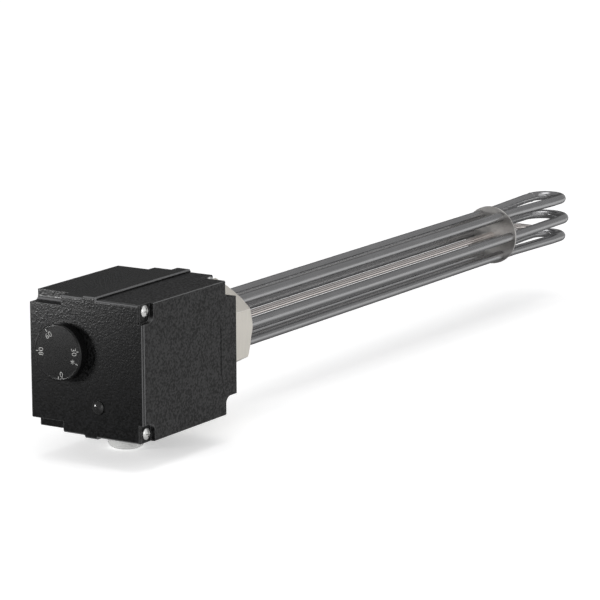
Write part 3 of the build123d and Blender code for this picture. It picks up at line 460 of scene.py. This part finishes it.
# Plastics and rubbers: scales count grains to a metre, and depths and widths are in metres
plastics = {
    "housing_plastic": {
        "colour": (0.0060, 0.0060, 0.0062),
        "grain_scale": 760.0,
        "contrast": 0.95,
        "roughness": 0.32,
        "grain_depth": 0.00027,
        "specular": 0.20,
        "painted_highlight_colour": (0.12, 0.12, 0.122),
        "edge_width": 0.0007,
        "corner": 1.0,
    },
    "cover_plastic": {
        "colour": (0.0088, 0.0088, 0.0090),
        "grain_scale": 680.0,
        "contrast": 0.90,
        "roughness": 0.48,
        "grain_depth": 0.00026,
        "specular": 0.24,
        "painted_highlight_colour": (0.12, 0.12, 0.122),
        "edge_width": 0.0007,
        "corner": 1.0,
    },
    "knob_plastic": {
        "colour": (0.0030, 0.0030, 0.0031),
        "grain_scale": 2300.0,
        "contrast": 0.10,
        "roughness": 0.30,
        "grain_depth": 0.00001,
        "specular": 0.30,
        "painted_highlight_colour": (0.035, 0.035, 0.036),
        "edge_width": 0.0005,
    },
    "gland_plastic": {
        "colour": (0.70, 0.70, 0.69),
        "grain_scale": 900.0,
        "contrast": 0.05,
        "roughness": 0.38,
        "grain_depth": 0.00002,
        "specular": 0.45,
        "painted_highlight_colour": (0.86, 0.86, 0.85),
        "edge_width": 0.0006,
    },
    "seal_rubber": {
        "colour": (0.022, 0.022, 0.022),
        "grain_scale": 1800.0,
        "contrast": 0.20,
        "roughness": 0.75,
        "grain_depth": 0.00004,
        "specular": 0.25,
        "painted_highlight_colour": (0.04, 0.04, 0.04),
        "edge_width": thin_edge,
    },
    "inner_plastic": {
        "colour": (0.55, 0.54, 0.50),
        "grain_scale": 1200.0,
        "contrast": 0.06,
        "roughness": 0.45,
        "grain_depth": 0.00002,
        "specular": 0.35,
        "painted_highlight_colour": (0.62, 0.61, 0.57),
        "edge_width": 0.0005,
    },
    "block_plastic": {
        "colour": (0.62, 0.60, 0.52),
        "grain_scale": 1200.0,
        "contrast": 0.06,
        "roughness": 0.40,
        "grain_depth": 0.00002,
        "specular": 0.40,
        "painted_highlight_colour": (0.70, 0.68, 0.60),
        "edge_width": 0.0005,
    },
    "seal_ceramic": {
        "colour": (0.72, 0.70, 0.64),
        "grain_scale": 2600.0,
        "contrast": 0.08,
        "roughness": 0.70,
        "grain_depth": 0.00003,
        "specular": 0.30,
        "painted_highlight_colour": (0.78, 0.76, 0.70),
        "edge_width": thin_edge,
    },
    "lamp_lens": {
        "colour": (0.012, 0.012, 0.012),
        "grain_scale": 600.0,
        "contrast": 0.10,
        "roughness": 0.12,
        "grain_depth": 0.000002,
        "specular": 0.50,
        "painted_highlight_colour": (0.03, 0.03, 0.03),
        "edge_width": thin_edge,
    },
    "dial_print": {
        "colour": (0.31, 0.31, 0.30),
        "grain_scale": 2600.0,
        "contrast": 0.08,
        "roughness": 0.55,
        "grain_depth": 0.000004,
        "specular": 0.40,
        "painted_highlight_colour": (0.34, 0.34, 0.33),
        "edge_width": 0.0001,
    },
}

# Wire insulation: its colour, its painted edge highlight's colour and its contrast
insulations = {
    "live_insulation": ((0.16, 0.065, 0.03), (0.19, 0.08, 0.04), 0.08),
    "neutral_insulation": ((0.03, 0.10, 0.36), (0.04, 0.13, 0.42), 0.08),
    "earth_insulation": ((0.12, 0.34, 0.05), (0.15, 0.40, 0.07), 0.08),
    "lead_insulation": ((0.70, 0.70, 0.67), (0.76, 0.76, 0.73), 0.06),
}

# Metals: a stretch counts streaks to a metre along X, Y and Z
along_tubes = (1100.0, 9.0, 1100.0)
all_ways = (320.0, 320.0, 320.0)
around_fitting = (60.0, 900.0, 60.0)
metals = {
    "zinc_steel": {
        "colour": (0.62, 0.62, 0.61),
        "stretch": all_ways,
        "contrast": 0.12,
        "roughness": 0.28,
        "grain_depth": 0.00001,
        "painted_highlight_colour": (0.80, 0.80, 0.79),
        "edge_width": thin_edge,
    },
    "nickel_brass": {
        "colour": (0.58, 0.555, 0.505),
        "stretch": around_fitting,
        "contrast": 0.06,
        "roughness": 0.44,
        "grain_depth": 0.00001,
        "painted_highlight_colour": (0.90, 0.88, 0.85),
        "edge_width": 0.0007,
        "metallic": 0.45,
    },
    "element_steel": {
        "colour": (0.385, 0.385, 0.39),
        "stretch": along_tubes,
        "contrast": 0.06,
        "roughness": 0.25,
        "grain_depth": 0.000003,
        "painted_highlight_colour": (0.42, 0.42, 0.42),
        "edge_width": 0.0010,
    },
    "sensor_steel": {
        "colour": (0.93, 0.87, 0.84),
        "stretch": along_tubes,
        "contrast": 0.03,
        "roughness": 0.17,
        "grain_depth": 0.000001,
        "painted_highlight_colour": (0.93, 0.87, 0.84),
        "edge_width": thin_edge,
    },
    "disc_steel": {
        "colour": (0.50, 0.487, 0.472),
        "stretch": all_ways,
        "contrast": 0.12,
        "roughness": 0.36,
        "grain_depth": 0.00001,
        "painted_highlight_colour": (0.80, 0.79, 0.77),
        "edge_width": 0.0004,
    },
    "inner_steel": {
        "colour": (0.55, 0.55, 0.54),
        "stretch": all_ways,
        "contrast": 0.12,
        "roughness": 0.34,
        "grain_depth": 0.00001,
        "painted_highlight_colour": (0.70, 0.70, 0.69),
        "edge_width": thin_edge,
    },
    "inner_brass": {
        "colour": (0.68, 0.50, 0.22),
        "stretch": all_ways,
        "contrast": 0.12,
        "roughness": 0.30,
        "grain_depth": 0.00001,
        "painted_highlight_colour": (0.80, 0.62, 0.32),
        "edge_width": thin_edge,
    },
    "inner_copper": {
        "colour": (0.70, 0.36, 0.20),
        "stretch": along_tubes,
        "contrast": 0.12,
        "roughness": 0.32,
        "grain_depth": 0.00001,
        "painted_highlight_colour": (0.80, 0.46, 0.28),
        "edge_width": thin_edge,
    },
}

finishes = {name: plastic(name, **look) for name, look in plastics.items()}
finishes.update({name: metal(name, **look) for name, look in metals.items()})
for name, (colour, painted_highlight_colour, contrast) in insulations.items():
    finishes[name] = plastic(
        name,
        colour,
        grain_scale=1500.0,
        contrast=contrast,
        roughness=0.45,
        grain_depth=0.00001,
        specular=0.40,
        painted_highlight_colour=painted_highlight_colour,
        edge_width=thin_edge,
    )


def witness_line(finish):
    """Darkens and dulls the cover's finish along the upright line on its right side."""
    tree = finish.node_tree
    shader = tree.nodes["Principled BSDF"]
    place = split(tree, object_place(tree))
    beside = calculate(tree, "ABSOLUTE", calculate(tree, "SUBTRACT", place["Y"], witness_y))
    above = calculate(tree, "ABSOLUTE", calculate(tree, "SUBTRACT", place["Z"], witness_middle))
    mask = calculate(
        tree,
        "MULTIPLY",
        spread(tree, beside, witness_width, (witness_strength, 0.0)),
        spread(tree, above, (witness_reach - witness_fade, witness_reach), (1.0, 0.0)),
    )
    on_right_side = spread(tree, place["X"], (cover_right - MM, cover_right), (0.0, 1.0))
    mask = calculate(tree, "MULTIPLY", mask, on_right_side)
    colour = shader.inputs["Base Color"]
    tree.links.new(blend_colours(tree, mask, colour.links[0].from_socket, witness_colour), colour)
    gloss = shader.inputs["Specular IOR Level"]
    tree.links.new(spread(tree, mask, (0.0, 1.0), (gloss.default_value, 0.0)), gloss)


witness_line(finishes["cover_plastic"])

for part in frame["nodes"].values():
    for material_slot in part.material_slots:
        material_slot.material = finishes[material_slot.material.name.split(".")[0]]


def dial_turned(angle):
    """Turns a mark that stands at the top of the dial by an angle clockwise, as seen from the front."""
    return (
        Matrix.Translation(dial_middle)
        @ Matrix.Rotation(radians(angle), 4, "Y")
        @ Matrix.Rotation(pi / 2, 4, "X")
    )


def dial_figure(text, angle, radius):
    """Printed figure, its top towards the dial's rim."""
    deselect_all()
    bpy.ops.object.text_add()
    figure = bpy.context.object
    figure.data.body = text
    figure.data.size = figure_size
    figure.data.align_x = "CENTER"
    figure.data.align_y = "CENTER"
    figure.data.space_character = figure_spacing
    figure.data.offset = figure_thinning
    figure.data.extrude = print_thickness / 2
    figure.data.resolution_u = 4
    make_active(figure)
    bpy.ops.object.convert(target="MESH")
    figure = bpy.context.object
    figure.matrix_world = dial_turned(angle) @ Matrix.Translation((0, radius, print_thickness / 2))
    return settle(figure, f"dial_figure_{text}", "dial", finishes["dial_print"])


def dial_bar(name, angle, inner, outer, width, turn=0.0):
    """Printed bar on the dial between two radii, turned about its own middle."""
    deselect_all()
    bpy.ops.mesh.primitive_cube_add(size=1.0)
    bar = bpy.context.object
    bar.matrix_world = (
        dial_turned(angle)
        @ Matrix.Translation((0, (inner + outer) / 2, print_thickness / 2))
        @ Matrix.Rotation(radians(turn), 4, "Z")
        @ Matrix.Diagonal((width, outer - inner, print_thickness, 1.0))
    )
    place_into_mesh()
    edit_whole_mesh()
    bpy.ops.mesh.bevel(offset=print_bevel, segments=1, affect="EDGES")
    bpy.ops.object.mode_set(mode="OBJECT")
    return settle(bar, name, "dial", finishes["dial_print"])


for figure_text, figure_angle, tick_angle, figure_radius in dial_figures:
    dial_figure(figure_text, figure_angle, figure_radius)
    dial_bar(f"dial_tick_{figure_text}", tick_angle, tick_inner, tick_outer, tick_width)
dial_bar("dial_tick_frost", frost_angle, tick_inner, tick_outer, tick_width)
for arm in range(frost_arms):
    dial_bar(
        f"dial_frost_{arm}",
        frost_angle,
        frost_radius - frost_arm_reach,
        frost_radius + frost_arm_reach,
        frost_arm_width,
        turn=arm * 180.0 / frost_arms,
    )


def ring_around_tube(radius, section, section_steps, middle):
    """Ring that lies across the tubes, with its place in its mesh."""
    deselect_all()
    bpy.ops.mesh.primitive_torus_add(
        major_segments=ring_steps,
        minor_segments=section_steps,
        major_radius=radius,
        minor_radius=section,
        location=middle,
        rotation=(pi / 2, 0, 0),
    )
    place_into_mesh()
    return bpy.context.object


def cut_across(along, direction):
    """Cuts away what lies past a point along the tubes and closes the cut."""
    edit_whole_mesh()
    bpy.ops.mesh.bisect(
        plane_co=(0, along, 0),
        plane_no=(0, direction, 0),
        use_fill=True,
        clear_outer=True,
        threshold=cut_threshold,
    )
    bpy.ops.object.mode_set(mode="OBJECT")


def weld_ring(name, tube, place_x, place_z):
    """Brazed collar where a tube leaves the fitting's end face."""
    ring = ring_around_tube(
        tube + collar_offset, collar_section, collar_section_steps, (place_x, fitting_end, place_z)
    )
    cut_across(fitting_end, -1)
    bpy.ops.object.shade_smooth_by_angle(angle=ring_smooth_angle)
    return settle(ring, name, "heater", finishes["zinc_steel"])


for leg in range(leg_count):
    leg_angle = radians(leg_step * leg)
    weld_ring(f"weld_ring_{leg}", tube_radius, leg_circle * cos(leg_angle), leg_circle * sin(leg_angle))
weld_ring("weld_ring_sensor", sensor_radius, 0.0, 0.0)


def pipe_thread():
    """Crest of the pipe thread: a low ridge that winds around the fitting's plug.

    Its section is a triangle that points outwards. With a radius of 1 a triangle is 1.5 high and
    the root of 3 wide, and its middle is a third of its height above its foot.
    """
    height = thread_crest + thread_sink
    deselect_all()
    bpy.ops.mesh.primitive_circle_add(vertices=3, radius=1.0, rotation=(0, 0, -pi / 2))
    ridge = bpy.context.object
    place_into_mesh()
    ridge.scale = (height / 1.5, thread_foot / sqrt(3), 1.0)
    ridge.location = (plug_radius - thread_sink + height / 3, thread_start, 0)
    place_into_mesh()
    winding = ridge.modifiers.new("winding", "SCREW")
    winding.axis = "Y"
    winding.angle = 2 * pi * thread_turns
    winding.screw_offset = thread_pitch * thread_turns
    winding.steps = winding.render_steps = round(thread_steps * thread_turns)
    winding.use_smooth_shade = False
    bpy.ops.object.modifier_apply(modifier="winding")
    edit_whole_mesh()
    bpy.ops.mesh.fill_holes(sides=3)
    bpy.ops.mesh.normals_make_consistent(inside=False)
    bpy.ops.object.mode_set(mode="OBJECT")
    bpy.ops.object.shade_smooth_by_angle(angle=thread_smooth_angle)
    return settle(ridge, "pipe_thread", "heater", finishes["nickel_brass"])


pipe_thread()


def joint_ring(name, element):
    """Thin flat-sided ring on a hairpin's left leg, where its bend begins."""
    low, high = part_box(element)
    ring = ring_around_tube(
        tube_radius - joint_sink,
        joint_section,
        joint_section_steps,
        (low.x + tube_radius, bend_start, (low.z + high.z) / 2),
    )
    for side in (-1, 1):
        cut_across(bend_start + side * joint_half_width, side)
    bpy.ops.object.shade_smooth_by_angle(angle=ring_smooth_angle)
    return settle(ring, name, "heater", finishes["element_steel"])


joint_ring("joint_ring_top", "element_top")
joint_ring("joint_ring_middle", "element_middle")


def floor_paint():
    """Pale paint that keeps the object's shadow, with painted shade on the left and painted light on the
    right for whatever mirrors it.
    """
    made, tree, shader = new_finish("floor_paint")
    shader.inputs["Roughness"].default_value = floor_roughness
    shader.inputs["Specular IOR Level"].default_value = 0.0
    shader.inputs["Emission Color"].default_value = WHITE
    rays = add_node(tree, "ShaderNodeLightPath").outputs
    place = object_place(tree)
    across = split(tree, place)
    far_left = calculate(
        tree,
        "MULTIPLY",
        spread(tree, across["X"], floor_patch_x, (floor_patch, 0.0)),
        spread(tree, across["Y"], floor_patch_y, (0.0, 1.0)),
    )
    # Painted shade and painted light for glossy rays: dark on the left, light on the right, with a lighter
    # patch far left
    right = spread(tree, across["X"], floor_painted_light_x, (0.0, 1.0))
    mirrored = spread(tree, calculate(tree, "MAXIMUM", right, far_left), (0.0, 1.0), floor_painted_shade_and_light)
    distance = add_node(tree, "ShaderNodeVectorMath", {"operation": "LENGTH"}, Vector=place).outputs["Value"]
    shown = spread(tree, distance, floor_shown_distance, floor_shown)
    glow = spread(tree, rays["Is Camera Ray"], (0.0, 1.0), (floor_bounce, shown))
    glow = spread(tree, rays["Is Glossy Ray"], (0.0, 1.0), (glow, mirrored))
    tree.links.new(glow, shader.inputs["Emission Strength"])
    colour = blend_colours(tree, rays["Is Glossy Ray"], floor_colour, BLACK)
    tree.links.new(colour, shader.inputs["Base Color"])
    return made


deselect_all()
bpy.ops.mesh.primitive_plane_add(size=floor_size, location=(0, 0, gland_bottom))
studio_floor = bpy.context.object
studio_floor.name = "studio_floor"
studio_floor.data.materials.append(floor_paint())


def studio_sky():
    """Grey sky for the object, plain white for the camera."""
    sky = bpy.data.worlds.new("studio_sky")
    sky.use_nodes = True
    tree = sky.node_tree
    towards = split(tree, add_node(tree, "ShaderNodeTexCoord").outputs["Generated"])
    rise = spread(tree, towards["Z"], (0.0, sky_height), (0.0, 1.0))
    open_sky = blend_colours(tree, rise, sky_horizon, sky_zenith)
    screened = calculate(
        tree,
        "MULTIPLY",
        spread(tree, towards["X"], sky_screen_x, (1.0, 0.0)),
        spread(tree, towards["Z"], sky_screen_z, (1.0, 0.0)),
    )
    colour = blend_colours(tree, screened, open_sky, sky_screen)
    camera_ray = add_node(tree, "ShaderNodeLightPath").outputs["Is Camera Ray"]
    tree.links.new(blend_colours(tree, camera_ray, colour, WHITE), tree.nodes["Background"].inputs["Color"])
    return sky


bpy.context.scene.world = studio_sky()


def soft_light(name, place, target, size, power, cone=180.0):
    """Square soft lamp that looks at a point and shines inside a cone, in degrees."""
    lamp = bpy.data.lights.new(name, "AREA")
    lamp.shape = "SQUARE"
    lamp.size = size
    lamp.energy = power
    lamp.spread = radians(cone)
    holder = bpy.data.objects.new(name, lamp)
    bpy.context.scene.collection.objects.link(holder)
    holder.location = place
    holder.visible_camera = False
    holder.rotation_mode = "QUATERNION"
    holder.rotation_quaternion = (Vector(target) - Vector(place)).to_track_quat("-Z", "Y")
    return holder


soft_light("top_light", place=(0.25, 0.10, 1.7), target=(0, 0, 0), size=1.3, power=12.0)
soft_light("right_light", place=(1.6, 0.05, 0.75), target=(0, 0, 0), size=2.0, power=9.0)
soft_light("right_front_light", place=(0.95, -0.75, 0.10), target=(0, -0.1, 0), size=0.9, power=3.2)
soft_light(
    "front_left_light",
    place=(-0.235, -0.40, 0.055),
    target=(-0.04, -0.155, 0.03),
    size=0.08,
    power=0.19,
    cone=75.0,
)


def photo_camera():
    """Camera that looks at its target from the photograph's side, with its roll."""
    towards_eye = Vector(
        (
            sin(camera_azimuth) * cos(camera_elevation),
            -cos(camera_azimuth) * cos(camera_elevation),
            sin(camera_elevation),
        )
    )
    level = Vector((cos(camera_azimuth), sin(camera_azimuth), 0.0))
    upright = towards_eye.cross(level)
    right = cos(camera_roll) * level + sin(camera_roll) * upright
    up = cos(camera_roll) * upright - sin(camera_roll) * level
    camera = bpy.data.objects.new("camera", bpy.data.cameras.new("camera"))
    bpy.context.scene.collection.objects.link(camera)
    camera.data.lens = camera_lens
    camera.data.clip_start = camera_nearest
    camera.data.clip_end = camera_farthest
    turned = Matrix((right, up, towards_eye)).transposed().to_4x4()
    camera.matrix_world = Matrix.Translation(camera_target + towards_eye * camera_distance) @ turned
    return camera


bpy.context.scene.camera = photo_camera()
bpy.context.scene.view_settings.view_transform = "Standard"
